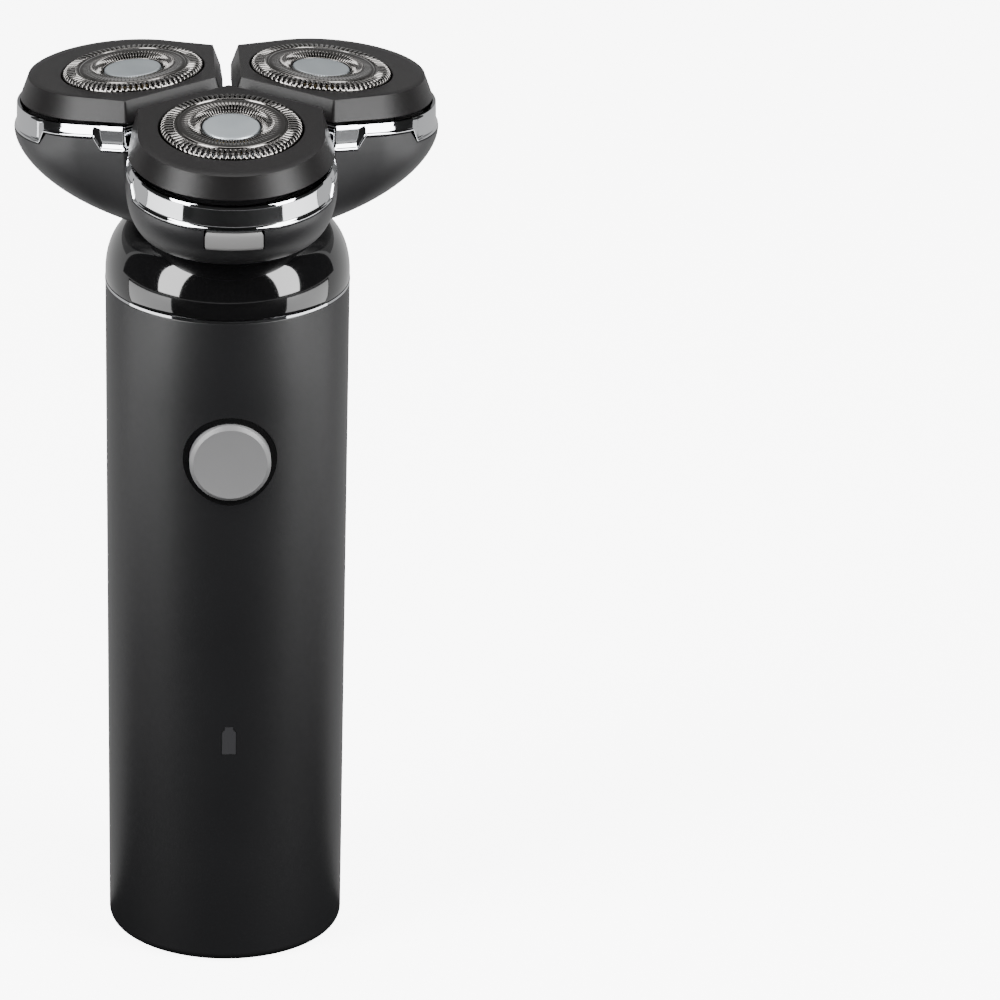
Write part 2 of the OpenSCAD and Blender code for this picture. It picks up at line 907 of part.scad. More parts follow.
// Half section of a comb, in the plane of the axis
module comb_profile(roll, steps) {
    polygon(concat(
        [[hub_disc_r + 0.1, -0.15], [hub_ring_r, -0.15], [hub_ring_r + 0.1, 0]],
        [[groove_r - groove_w / 2, 0], [groove_r - groove_w / 2, -0.3]],
        [[groove_r + groove_w / 2, -0.3], [groove_r + groove_w / 2, 0]],
        [for (k = [0:steps])
            let (a = 90 * k / steps)
            [comb_r - roll + roll * sin(a), -roll + roll * cos(a)]],
        [[comb_r, cap_bottom + 1.1], [comb_flange_r, cap_bottom + 1.1]],
        [[comb_flange_r, cap_bottom + 0.6], [comb_r - comb_t, cap_bottom + 0.6]],
        [for (k = [steps:-1:0])
            let (a = 90 * k / steps)
            [comb_r - roll + (roll - comb_t) * sin(a), -roll + (roll - comb_t) * cos(a)]],
        [[groove_r + groove_w / 2 + comb_t, -comb_t], [groove_r + groove_w / 2 + comb_t, -0.3 - comb_t]],
        [[groove_r - groove_w / 2 - comb_t, -0.3 - comb_t], [groove_r - groove_w / 2 - comb_t, -comb_t]],
        [[hub_ring_r + 0.1 + comb_t, -comb_t], [hub_ring_r + comb_t, -0.15 - comb_t]],
        [[hub_disc_r + 0.1, -0.15 - comb_t]]
    ));
}

// A ring of narrow radial slots between two radii
module comb_slots(low, high, count) {
    translate([0, 0, -0.29])
        linear_extrude(0.6)
            for (n = [0:count - 1])
                rotate([0, 0, n * 360 / count])
                    translate([low, -0.2]) square([high - low, 0.4]);
}

// Round plate in the middle of a comb, with the axle that centres the cutter
module hub_disc(index) {
    color("#bcc6cb")
        at_pod(index)
            union() {
                translate([0, 0, -1]) cylinder(h = 1.05, r = hub_disc_r);
                translate([0, 0, -2.6]) cylinder(h = 1.7, r = cutter_axle_r);
            }
}

// Ring under a comb that carries the pod's two pivot pins and keeps the cutter in
module carrier(index) {
    color("#333336")
        at_pod(index)
            difference() {
                union() {
                    tube(12.6, 11.4, pivot_level - 1.4, cap_bottom + 0.5);
                    for (side = [-1, 1])
                        translate([0, side * 12.2, pivot_level])
                            rotate([-side * 90, 0, 0]) cylinder(h = 2.5, r = 0.8);
                    for (n = [0:2])
                        rotate([0, 0, 120 * n + 60])
                            translate([5.4, -0.8, pivot_level - 1.4]) cube([6.4, 1.6, 0.8]);
                    tube(6.2, 5.2, pivot_level - 1.4, pivot_level - 0.6);
                }
            }
}

// Turning cutter: a steel disc with a ring of upright blades in two tracks
module cutter(index) {
    low = -3.2;
    disc_t = 0.7;
    top = -comb_t - cutter_gap;
    tracks = [
        [hub_ring_r + 0.7, groove_r - groove_w / 2 - comb_t - 0.15],
        [groove_r + groove_w / 2 + comb_t + 0.15, cutter_r - 0.75]
    ];
    color("#9fa3a6")
        at_pod(index)
            difference() {
                union() {
                    translate([0, 0, low]) cylinder(h = disc_t, r = cutter_r - 0.6);
                    for (n = [0:blade_count - 1])
                        rotate([0, 0, n * 360 / blade_count])
                            for (track = tracks)
                                translate([track[0], -0.3, low + disc_t - slack])
                                    cube([track[1] - track[0], 0.6, top - low - disc_t]);
                }
                translate([0, 0, low - 1]) cylinder(h = disc_t + 2, r = 3);
            }
}

// Plastic hub of a cutter, with the square socket for the spindle's tip
module cutter_hub(index) {
    low = pivot_level + 0.6;
    high = -1.2;
    socket = 5;
    color("#d9c58a")
        at_pod(index)
            difference() {
                union() {
                    translate([0, 0, low]) cylinder(h = -3.25 - low, r = 4.6);
                    translate([0, 0, -3.3]) cylinder(h = high + 3.3, r = 2.95);
                }
                translate([-socket / 2, -socket / 2, low - slack]) cube([socket, socket, 2.4]);
                translate([0, 0, -2.9]) cylinder(h = 3, r = cutter_axle_r + running_gap);
            }
}

// ---------------------------------------------------------------- nodes

handle_shell();
base_cap();
base_seal();
inlet_housing();
inlet_pin(-1);  // inlet_pin_left
inlet_pin(1);  // inlet_pin_right
chassis();
battery_cell();
battery_tabs();
circuit_board();
power_switch();
status_led();
light_guide();
button_bezel();
motor_can();
motor_magnets();
motor_mount();
collar();
seam_ring();
power_button();
motor_rotor();
drive_coupling();
head_shell();
neck_spigot();
neck_seal();
gear_plate();
gear_cover();
hinge_pin();
input_dog();
sun_gear();
planet(0);  // planet_front
planet(1);  // planet_right
planet(2);  // planet_left
release_tab();
frame_plate();
chrome_band(0);  // chrome_band_front
chrome_band(1);  // chrome_band_right
chrome_band(2);  // chrome_band_left
cap(0);  // cap_front
cap(1);  // cap_right
cap(2);  // cap_left
comb(0);  // comb_front
comb(1);  // comb_right
comb(2);  // comb_left
hub_disc(0);  // hub_disc_front
hub_disc(1);  // hub_disc_right
hub_disc(2);  // hub_disc_left
carrier(0);  // carrier_front
carrier(1);  // carrier_right
carrier(2);  // carrier_left
cutter(0);  // cutter_front
cutter(1);  // cutter_right
cutter(2);  // cutter_left
cutter_hub(0);  // cutter_hub_front
cutter_hub(1);  // cutter_hub_right
cutter_hub(2);  // cutter_hub_left
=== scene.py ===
# %% [markdown]
# # A cordless rotary shaver
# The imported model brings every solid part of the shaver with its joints. This lesson keeps the
# hidden mechanism as it is, rebuilds the surfaces that are seen with finer meshes, and gives every
# part a finish. The frame comes first, because each new piece rides on one of its bodies.

# %% Load the frame
import json
import math

import bmesh
import bpy
from mathutils import Matrix, Vector

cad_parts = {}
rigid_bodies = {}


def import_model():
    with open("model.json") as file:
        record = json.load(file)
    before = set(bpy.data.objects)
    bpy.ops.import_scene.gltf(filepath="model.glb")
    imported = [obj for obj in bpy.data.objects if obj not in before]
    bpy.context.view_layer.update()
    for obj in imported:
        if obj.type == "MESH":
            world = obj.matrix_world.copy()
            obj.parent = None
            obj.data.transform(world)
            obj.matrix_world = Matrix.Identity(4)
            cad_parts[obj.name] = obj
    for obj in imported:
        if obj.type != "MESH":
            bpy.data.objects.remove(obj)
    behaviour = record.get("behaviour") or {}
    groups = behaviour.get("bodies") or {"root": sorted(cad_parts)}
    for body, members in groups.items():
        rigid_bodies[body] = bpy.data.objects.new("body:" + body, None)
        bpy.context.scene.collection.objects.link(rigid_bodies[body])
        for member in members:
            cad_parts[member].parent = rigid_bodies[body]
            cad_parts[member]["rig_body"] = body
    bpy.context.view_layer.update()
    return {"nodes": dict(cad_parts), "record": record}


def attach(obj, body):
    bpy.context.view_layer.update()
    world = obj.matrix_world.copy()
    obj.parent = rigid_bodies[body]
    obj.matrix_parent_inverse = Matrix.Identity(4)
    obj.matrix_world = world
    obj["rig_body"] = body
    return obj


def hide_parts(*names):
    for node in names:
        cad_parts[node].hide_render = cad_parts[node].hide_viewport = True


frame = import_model()
nodes = frame["nodes"]

# %% [markdown]
# ## The camera
# A long lens from a little above flattens the shaver and keeps its sides nearly upright. The camera
# is panned and rolled by a hair instead of shifted, so that it can be turned round the shaver freely.

# %% Camera
def add_camera(place, pan, tilt, roll, lens):
    """A camera that looks along +Y, panned to the right, tilted down and rolled, in degrees."""
    p, t, r = (math.radians(a) for a in (pan, tilt, roll))
    ahead = Vector((math.sin(p) * math.cos(t), math.cos(p) * math.cos(t), -math.sin(t)))
    level = ahead.cross(Vector((0, 0, 1))).normalized()
    above = level.cross(ahead)
    right = math.cos(r) * level + math.sin(r) * above
    up = -math.sin(r) * level + math.cos(r) * above
    data = bpy.data.cameras.new("camera")
    data.lens = lens
    data.sensor_width = 36
    data.clip_start = 0.05
    data.clip_end = 20
    eye = bpy.data.objects.new("camera", data)
    bpy.context.scene.collection.objects.link(eye)
    eye.matrix_world = Matrix.Translation(place) @ Matrix((right, up, -ahead)).transposed().to_4x4()
    return eye


camera = add_camera(Vector((-0.0388, -1.3895, 0.678)), pan=3.461, tilt=23.411, roll=0.982, lens=329.94)
bpy.context.scene.camera = camera
print("lens:", camera.data.lens, "mm")

# %% [markdown]
# ## Meshes from rings of points
# Nearly every visible part of a shaver is a turned or lofted skin: rings of points, one above the
# other, joined by quads. One helper builds that skin and leaves faces out where a slot goes through.
# Sizes are written in millimetres, as on a drawing, and scaled once here.

# %% Mesh helpers
MM = 0.001


def link_mesh(name, points, faces, place=Matrix.Identity(4), crease=32):
    """A mesh from millimetre points, moved to its place. Each point also keeps its place on the
    piece itself as the attribute "own", for patterns that follow the piece's own axis."""
    mesh = bpy.data.meshes.new(name)
    mesh.from_pydata([Vector(p) * MM for p in points], [], faces)
    work = bmesh.new()
    work.from_mesh(mesh)
    bmesh.ops.recalc_face_normals(work, faces=work.faces)
    for face in work.faces:
        face.smooth = True
    work.to_mesh(mesh)
    work.free()
    mesh.set_sharp_from_angle(angle=math.radians(crease))
    own = mesh.attributes.new("own", "FLOAT_VECTOR", "POINT")
    for n, vertex in enumerate(mesh.vertices):
        own.data[n].vector = vertex.co
    mesh.transform(place)
    piece = bpy.data.objects.new(name, mesh)
    bpy.context.scene.collection.objects.link(piece)
    return piece


def skin(rings, stack_closed=False, skip=None):
    """Points and quads that join rings of equal length. A ring of one point closes the skin to a tip."""
    points, starts = [], []
    for ring in rings:
        starts.append(len(points))
        points += ring
    faces = []
    count = max(len(ring) for ring in rings)
    rows = len(rings) if stack_closed else len(rings) - 1
    for row in range(rows):
        low, high = row, (row + 1) % len(rings)
        for n in range(count):
            m = (n + 1) % count
            if skip and skip(row, n):
                continue
            a = [starts[low] + n, starts[low] + m] if len(rings[low]) > 1 else [starts[low]]
            b = [starts[high] + m, starts[high] + n] if len(rings[high]) > 1 else [starts[high]]
            faces.append(a + b)
    return points, faces


def turned(profile, count=256):
    """Rings for a lathe: each (radius, height) pair becomes a ring, or a tip on the axis."""
    rings = []
    for radius, height in profile:
        if radius == 0:
            rings.append([(0, 0, height)])
        else:
            rings.append([(radius * math.cos(2 * math.pi * n / count),
                           radius * math.sin(2 * math.pi * n / count), height) for n in range(count)])
    return rings


def arc(centre, radius, start, end, steps=6):
    """Points of an arc in a profile, angles in degrees."""
    angles = [math.radians(start + (end - start) * k / steps) for k in range(steps + 1)]
    return [(centre[0] + radius * math.cos(a), centre[1] + radius * math.sin(a)) for a in angles]


# %% [markdown]
# ## Finishes as Python sums
# A finish is a Principled shader with a few noise patterns behind it. The small class below wraps a
# socket so that patterns are added and multiplied like numbers, and one method makes any node.

# %% The finish class
class Pattern:
    """A shader socket that can be used in sums; each sum adds a Math node."""

    def __init__(self, finish, socket):
        self.finish, self.socket = finish, socket

    def sum(self, kind, one, two):
        return self.finish.node("ShaderNodeMath", {"operation": kind}, {0: one, 1: two})

    def __add__(self, other): return self.sum("ADD", self, other)
    def __radd__(self, other): return self.sum("ADD", other, self)
    def __sub__(self, other): return self.sum("SUBTRACT", self, other)
    def __rsub__(self, other): return self.sum("SUBTRACT", other, self)
    def __mul__(self, other): return self.sum("MULTIPLY", self, other)
    def __rmul__(self, other): return self.sum("MULTIPLY", other, self)


class Finish:
    """A material with a Principled shader; inputs take numbers, colours or patterns."""

    def __init__(self, name, **inputs):
        self.material = bpy.data.materials.new(name)
        self.material.use_nodes = True
        self.tree = self.material.node_tree
        self.shader = self.tree.nodes["Principled BSDF"]
        self.places = self.node("ShaderNodeTexCoord", out="Object")
        for key, value in inputs.items():
            self.put(self.shader.inputs[key.replace("_", " ")], value)

    def put(self, socket, value):
        if isinstance(value, Pattern):
            self.tree.links.new(value.socket, socket)
        elif socket.type == "RGBA" and len(value) == 3:
            socket.default_value = (*value, 1)
        else:
            socket.default_value = value

    def node(self, kind, settings=None, inputs=None, out=0):
        made = self.tree.nodes.new(kind)
        for key, value in (settings or {}).items():
            if key == "stops":
                ramp = made.color_ramp.elements
                while len(ramp) < len(value):
                    ramp.new(0.5)
                for stop, (at, colour) in zip(ramp, value):
                    stop.position, stop.color = at, (*colour, 1)
            else:
                setattr(made, key, value)
        for key, value in (inputs or {}).items():
            self.put(made.inputs[key], value)
        return Pattern(self, made.outputs[out])

    def stretched(self, scale):
        return self.node("ShaderNodeMapping", inputs={"Vector": self.places, "Scale": scale})

    def noise(self, scale, detail=3.0, vector=None):
        return self.node("ShaderNodeTexNoise", inputs={
            "Vector": vector or self.places, "Scale": scale, "Detail": detail})

    def between(self, mask, one, two):
        return self.node("ShaderNodeMix", {"data_type": "RGBA"}, {0: mask, 6: one, 7: two}, out=2)

    def bump(self, height, depth, strength=1.0):
        """Depth in millimetres."""
        normal = self.node("ShaderNodeBump", inputs={
            "Height": height, "Distance": depth * MM, "Strength": strength})
        self.put(self.shader.inputs["Normal"], normal)
        return self


# %% [markdown]
# ## Plastics, rubber and metals
# Moulded plastic has a fine spark-eroded grain, uneven sheen where hands have been, and a faint colour
# drift. Metals differ in how their surface is worked: turned, brushed, etched or plated.
# One function covers each family, and each part passes its own colour, sheen and grain.

# %% Finish families
def shade(colour, factor):
    return tuple(min(1.0, c * factor) for c in colour)


def moulded(name, colour, sheen=0.45, grain=6000, depth=0.012, coat=0.0, spread=0.06):
    finish = Finish(name, IOR=1.5)
    fine = finish.noise(grain, 2)
    broad = finish.noise(45, 4)
    shader = finish.shader.inputs
    finish.put(shader["Base Color"], finish.between(broad, shade(colour, 0.85), shade(colour, 1.15)))
    finish.put(shader["Roughness"], broad * spread + fine * 0.05 + (sheen - spread / 2 - 0.025))
    if coat:
        finish.put(shader["Coat Weight"], coat)
        finish.put(shader["Coat Roughness"], 0.03)
    return finish.bump(fine + broad * 0.3, depth, 0.6).material


def metal(name, colour, sheen=0.25, grain=(3000, 3000, 3000), depth=0.004, spread=0.08):
    finish = Finish(name, Metallic=1.0)
    lines = finish.noise(1.0, 3, finish.stretched(grain))
    broad = finish.noise(60, 3)
    shader = finish.shader.inputs
    finish.put(shader["Base Color"], finish.between(broad, shade(colour, 0.92), shade(colour, 1.06)))
    finish.put(shader["Roughness"], lines * spread + broad * 0.05 + (sheen - spread / 2 - 0.025))
    return finish.bump(lines, depth, 0.5).material


finishes = {
    "handle_shell": moulded("soft_touch_black", (0.0075, 0.0075, 0.0082), 0.40, 7000, 0.020),
    "base_cap": moulded("base_black", (0.018, 0.018, 0.018), 0.55, 5000, 0.02),
    "black_rubber": moulded("black_rubber", (0.012, 0.012, 0.012), 0.7, 3000, 0.02),
    "inner_plastic": moulded("inner_plastic", (0.03, 0.03, 0.032), 0.5, 4000, 0.02),
    "contact": metal("plated_contact", (0.78, 0.62, 0.32), 0.2),
    "battery": moulded("battery_sleeve", (0.03, 0.12, 0.25), 0.25, 900, 0.02, coat=0.4),
    "nickel": metal("nickel_strip", (0.66, 0.64, 0.58), 0.3, (400, 4000, 400)),
    "board": moulded("board_mask", (0.01, 0.09, 0.035), 0.3, 2500, 0.02, coat=0.5),
    "motor_steel": metal("motor_steel", (0.58, 0.58, 0.57), 0.3, (500, 500, 6000)),
    "magnet": metal("sintered_magnet", (0.12, 0.12, 0.13), 0.5),
    "armature": metal("wound_armature", (0.42, 0.2, 0.09), 0.35, (600, 600, 9000), 0.02),
    "gear_plastic": moulded("gear_acetal", (0.72, 0.7, 0.64), 0.4, 3500, 0.01),
    "chrome": metal("band_chrome", (0.72, 0.73, 0.75), 0.05, (300, 300, 300), 0.002, 0.02),
    "light": moulded("smoked_guide", (0.03, 0.03, 0.032), 0.35, 3000, 0.006, coat=0.3),
    "led": moulded("led_lens", (0.7, 0.74, 0.76), 0.15, 2000, 0.004),
    "head_shell": moulded("satin_black", (0.018, 0.018, 0.019), 0.38, 5200, 0.016),
    "cutter_steel": metal("ground_steel", (0.42, 0.42, 0.43), 0.3, (2500, 300, 300)),
    "cutter_plastic": moulded("cutter_hub_plastic", (0.5, 0.38, 0.16), 0.4, 3000, 0.01),
    "tab": moulded("satin_grey", (0.165, 0.163, 0.162), 0.42, 5200, 0.012),
}
print("finishes:", len(finishes))

# %% [markdown]
# ## Four special finishes
# Piano black is a smooth dark plastic under clear lacquer, with only a trace of ripple. The caps have a
# sparkling fine grain. The combs and their discs are turned round their own middle, so their lines
# follow circles: the pattern is a noise that is stretched along the distance from the middle.

# %% Special finishes
def piano_black():
    finish = Finish("piano_black", Roughness=0.08, IOR=1.5, Coat_Weight=1.0, Coat_Roughness=0.015)
    ripple = finish.noise(140, 2)
    specks = finish.noise(2500, 2)
    base = finish.between(specks, (0.002, 0.002, 0.002), (0.006, 0.006, 0.0065))
    finish.put(finish.shader.inputs["Base Color"], base)
    finish.put(finish.shader.inputs["Roughness"], specks * 0.04 + 0.06)
    return finish.bump(ripple, 0.02, 0.15).material


def cap_black():
    finish = Finish("cap_black", IOR=1.5, Specular_IOR_Level=0.3)
    grit = finish.noise(9000, 2)
    broad = finish.noise(70, 3)
    shader = finish.shader.inputs
    finish.put(shader["Base Color"], finish.between(grit, (0.003, 0.0027, 0.0028), (0.009, 0.0083, 0.0085)))
    finish.put(shader["Roughness"], grit * 0.14 + broad * 0.05 + 0.27)
    return finish.bump(grit, 0.03, 0.7).material


def turned_metal(name, colour, sheen, depth, pitch):
    """A metal whose turning lines run round the piece's own Z axis; pitch in lines per metre."""
    finish = Finish(name, Metallic=1.0)
    own = finish.node("ShaderNodeAttribute", {"attribute_name": "own"}, out="Vector")
    apart = finish.node("ShaderNodeSeparateXYZ", inputs={0: own}, out="X")
    other = Pattern(finish, apart.socket.node.outputs["Y"])
    squares = apart * apart + other * other
    reach = finish.node("ShaderNodeMath", {"operation": "SQRT"}, {0: squares})
    spot = finish.node("ShaderNodeCombineXYZ", inputs={"X": reach * pitch, "Y": apart * 90, "Z": other * 90})
    lines = finish.noise(1.0, 3, spot)
    broad = finish.noise(220, 3)
    shader = finish.shader.inputs
    finish.put(shader["Base Color"], finish.between(broad, shade(colour, 0.9), shade(colour, 1.08)))
    finish.put(shader["Roughness"], lines * 0.12 + broad * 0.06 + (sheen - 0.09))
    return finish.bump(lines, depth, 0.6).material


finishes["collar"] = piano_black()
finishes["cap"] = cap_black()
finishes["foil"] = turned_metal("comb_steel", (0.2, 0.191, 0.184), 0.12, 0.006, 5000)
finishes["hub_disc"] = turned_metal("disc_blue_grey", (0.60, 0.65, 0.68), 0.42, 0.004, 9000)
finishes["button"] = moulded("button_satin", (0.165, 0.165, 0.167), 0.34, 5200, 0.010)
print("finishes:", len(finishes))

# %% [markdown]
# ## Finishing the parts that keep their CAD shape
# The record names a finish for every part. Each part gets it now, and the refined pieces that are built
# below take the same finish from the same list.

# %% Give every part its finish
slot_of = {part["node"]: part["material_slot"] for part in frame["record"]["subparts"]}
for name, node in nodes.items():
    node.data.materials.clear()
    node.data.materials.append(finishes[slot_of[name]])


def fit_piece(piece, node):
    """Puts a refined piece in a CAD part's place, with its body and its finish."""
    piece.data.materials.append(finishes[slot_of[node]])
    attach(piece, nodes[node]["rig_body"])
    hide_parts(node)
    print(piece.name, "faces:", len(piece.data.polygons))
    return piece


# %% [markdown]
# ## The handle
# The handle is one thin black tube that widens a little towards the top. It is turned from a profile of
# its outer and inner walls, with small radii where the real edges catch the light. The holes for the
# button and for the battery light are cut with Booleans, which keep the wall's thickness visible.

# %% Handle shell
HANDLE_H = 115.3
BASE_R, TOP_R, WALL = 19.4, 20.0, 1.6
BASE_HOLE_R, BASE_EDGE_R, TOP_EDGE_R = 17.62, 1.5, 0.25


def handle_r(height):
    return BASE_R + (TOP_R - BASE_R) * height / HANDLE_H


handle_profile = (
    [(BASE_HOLE_R, 0.2)]
    + arc((BASE_R - BASE_EDGE_R, 0.2 + BASE_EDGE_R), BASE_EDGE_R, -90, 0, 8)
    + [(handle_r(z), z) for z in (20, 50, 80, 100)]
    + arc((TOP_R - TOP_EDGE_R, HANDLE_H - TOP_EDGE_R), TOP_EDGE_R, 0, 90, 4)
    + [(TOP_R - WALL, HANDLE_H), (BASE_R - WALL, 6.2), (BASE_HOLE_R, 6.0)]
)


def combine(piece, other, operation="DIFFERENCE"):
    """Takes another closed mesh out of a piece, or joins it on, and throws the other away."""
    boolean = piece.modifiers.new(operation.lower(), "BOOLEAN")
    boolean.operation, boolean.solver, boolean.object = operation, "EXACT", other
    bpy.context.view_layer.update()
    baked = bpy.data.meshes.new_from_object(piece.evaluated_get(bpy.context.evaluated_depsgraph_get()))
    piece.modifiers.clear()
    piece.data = baked
    piece.data.set_sharp_from_angle(angle=math.radians(32))
    bpy.data.objects.remove(other)


def capped(name, rings):
    """A closed mesh: a skin over the rings, with a face on the first ring and one on the last."""
    points, faces = skin(rings)
    count = len(rings[0])
    faces += [list(range(count)), [len(points) - count + n for n in range(count)]]
    return link_mesh(name, points, faces)


def prism(outline, near, far):
    """A closed block with an outline in X and Z, from one Y to another."""
    return capped("prism", [[(x, y, z) for x, z in outline] for y in (near, far)])


BUTTON_Z, BUTTON_HOLE_R = 91, 7.7
LIGHT_Z = 40.6
battery_outline = [(-1.15, -2.2), (1.15, -2.2), (1.15, 1.75), (0.7, 2.2), (0.7, 2.75),
                   (-0.7, 2.75), (-0.7, 2.2), (-1.15, 1.75)]


def light_outline(gap):
    """The battery symbol at its height on the handle, grown by a gap."""
    return [(x + math.copysign(gap, x), LIGHT_Z + z + math.copysign(gap, z))
            for x, z in battery_outline]


handle = link_mesh("handle_shell_fine", *skin(turned(handle_profile), stack_closed=True))
hole = [(BUTTON_HOLE_R * math.cos(math.radians(3.75 * n)),
         BUTTON_Z + BUTTON_HOLE_R * math.sin(math.radians(3.75 * n))) for n in range(96)]
combine(handle, prism(hole, -30, -10))
combine(handle, prism(light_outline(0.07), -30, -10))
fit_piece(handle, "handle_shell")

# %% [markdown]
# ## The battery light
# The light is a smoked guide in the shape of a battery, level with the handle's skin. Its front is a
# fine grid bent to the handle's curve, so that it catches the same soft edge light.

# %% Light guide
GUIDE_R = handle_r(LIGHT_Z) - 0.04
GUIDE_DEPTH = 1.2
EDGE_STEPS = 6


def guide_point(x, z):
    """A point of the guide's front, which is bent to the handle's round."""
    return x, -math.sqrt(GUIDE_R ** 2 - x * x), z


def light_guide():
    outline = light_outline(0.0)
    front = []
    for k, a in enumerate(outline):
        b = outline[(k + 1) % len(outline)]
        for step in range(EDGE_STEPS):
            front.append(guide_point(a[0] + (b[0] - a[0]) * step / EDGE_STEPS,
                                     a[1] + (b[1] - a[1]) * step / EDGE_STEPS))
    back = [(x, y + GUIDE_DEPTH, z) for x, y, z in front]
    inset = [guide_point(x * 0.86, LIGHT_Z + (z - LIGHT_Z) * 0.93) for x, y, z in front]
    rings = [[(0, GUIDE_DEPTH - GUIDE_R, LIGHT_Z)], back, front, inset, [(0, -GUIDE_R, LIGHT_Z)]]
    return link_mesh("light_guide_fine", *skin(rings))


fit_piece(light_guide(), "light_guide")

# %% [markdown]
# ## The power button
# The button is a turned disc with a chamfer round a face that is very slightly hollow, and a stem behind
# it. It is turned about Z and laid on its side, so its face points at the user.

# %% Power button
BUTTON_R, BUTTON_PROUD = 6.65, 1.2
face_y = -(handle_r(BUTTON_Z) + BUTTON_PROUD)
button_profile = (
    [(0, 0.16), (2.5, 0.13), (4.5, 0.07), (5.75, 0.02), (5.95, 0.0)]
    + arc((5.95, 0.18), 0.18, -90, -45, 3)
    + [(6.5, 0.47)]
    + arc((BUTTON_R - 0.2, 0.66), 0.2, -30, 0, 3)
    + [(BUTTON_R, 3.4), (1.4, 3.4), (1.4, 5.05), (0, 5.05)]
)
lay_down = (Matrix.Translation((0, face_y * MM, BUTTON_Z * MM))
            @ Matrix.Rotation(math.radians(-90), 4, "X"))
button = link_mesh("power_button_fine", *skin(turned(button_profile, 192)), place=lay_down)
fit_piece(button, "power_button")

# %% [markdown]
# ## The collar
# The collar is a glossy black shoulder that closes in from the handle to the neck. A lacquered surface
# shows every facet in its reflections, so its curve has many rings and its edges have tiny radii.

# %% Collar
COLLAR_Z, COLLAR_TOP, COLLAR_TOP_R, BORE_R = 115.7, 124.9, 15.5, 9.15
SHOULDER_Z, COLLAR_EDGE_R = COLLAR_Z + 1.2, 0.2
shoulder = [(TOP_R - (TOP_R - COLLAR_TOP_R) * (1 - math.cos(math.radians(a))),
             SHOULDER_Z + (COLLAR_TOP - SHOULDER_Z) * math.sin(math.radians(a)))
            for a in range(0, 85, 3)]
collar_profile = (
    [(BORE_R, COLLAR_Z), (TOP_R - COLLAR_EDGE_R, COLLAR_Z)]
    + arc((TOP_R - COLLAR_EDGE_R, COLLAR_Z + COLLAR_EDGE_R), COLLAR_EDGE_R, -90, 0, 3)
    + shoulder
    + [(COLLAR_TOP_R + 0.1, COLLAR_TOP - 0.02), (COLLAR_TOP_R - 0.3, COLLAR_TOP), (BORE_R, COLLAR_TOP)]
)
fit_piece(link_mesh("collar_fine", *skin(turned(collar_profile), stack_closed=True)), "collar")

# %% [markdown]
# ## The outline of a lobe
# Each of the three heads has an outline like a rounded shield: a big round end outside, two small
# corners and a point towards the shaver's middle. It is the band that a string would make round four
# discs, and a function gives its distance from a centre in every direction.

# %% Lobe outline and the places of the three pods
POD_R, TILT, COMB_Z = 17.8, math.radians(5.5), 149.1
POD_ANGLES = {"front": -90, "right": 30, "left": 150}
RIM, BAND_TOP, CAP_BOTTOM, CAP_TOP = -9.25, -5.05, -4.25, -0.7
RIM_R, RIM_SHIFT = 17.0, 3.5
COLUMNS = 720


def pod_place(name):
    """The frame of one comb: its top is at zero and Z is its axis."""
    return (Matrix.Rotation(math.radians(POD_ANGLES[name]), 4, "Z")
            @ Matrix.Translation((POD_R * MM, 0, COMB_Z * MM))
            @ Matrix.Rotation(TILT, 4, "Y"))


CORNER_X, CORNER_Y, TIP_X, CORNER_R = -7.1, 14.6, -15.6, 1.2


def lobe_discs(level, radius, shift, grow=0.0):
    """The four discs (x, y, radius) of a lobe's outline at one level below its comb."""
    lean = -level * math.sin(TILT)
    corners = [(CORNER_X + lean, side * (CORNER_Y + grow), CORNER_R) for side in (1, -1)]
    return [(shift, 0, radius)] + corners + [(TIP_X + lean, 0, CORNER_R)]


def outline_reach(discs, count=COLUMNS):
    """How far the string round the discs is from the middle, for evenly spaced directions. It is 0
    in a direction that doesn't cross the string, as happens where the middle is outside it."""
    tight = []
    for n in range(2 * COLUMNS):
        a = math.pi * n / COLUMNS
        way = (math.cos(a), math.sin(a))
        x, y, r = max(discs, key=lambda d: d[0] * way[0] + d[1] * way[1] + d[2])
        tight.append((x + r * way[0], y + r * way[1]))
    reach = []
    edge = 0
    turn = [math.atan2(y, x) for x, y in tight]
    for n in range(count):
        a = 2 * math.pi * n / count
        found = 0.0
        for _ in range(len(tight)):
            here, there = edge % len(tight), (edge + 1) % len(tight)
            start = (a - turn[here] + math.pi) % (2 * math.pi) - math.pi
            stop = (a - turn[there] + math.pi) % (2 * math.pi) - math.pi
            if start >= -1e-9 and stop <= 1e-9 and start - stop < 3:
                (x1, y1), (x2, y2) = tight[here], tight[there]
                slant = (x2 - x1) * math.sin(a) - (y2 - y1) * math.cos(a)
                twice_area = (x2 - x1) * y1 - (y2 - y1) * x1
                found = abs(twice_area / slant) if abs(slant) > 1e-9 else math.hypot(x1, y1)
                break
            edge += 1
        reach.append(found)
    return reach


def lobe_ring(reach, level):
    count = len(reach)
    return [(r * math.cos(2 * math.pi * n / count), r * math.sin(2 * math.pi * n / count), level)
            for n, r in enumerate(reach)]


print("reach of a lobe:", round(max(outline_reach(lobe_discs(RIM, RIM_R, RIM_SHIFT))), 2), "mm")

# %% [markdown]
# ## The lower shell
# Under the heads, one black shell sweeps from the three round tips down to the neck. It is lofted: each
# direction from the shaver's axis has its own curve from the rim's outline to the round foot. Small tabs
# stand up on its flanks to key the chrome bands, and a dip between the lobes makes the folds.

# %% Loft of the shell
FOOT_R, FOOT_Z = 13.4, 125.8
TAB_H, TAB_BASE, TAB_TOP = 2.1, 5.9, 4.6
SHELL_COLUMNS = 1080
FOLD_TURN, FOLD_R = 57.4, 15.6


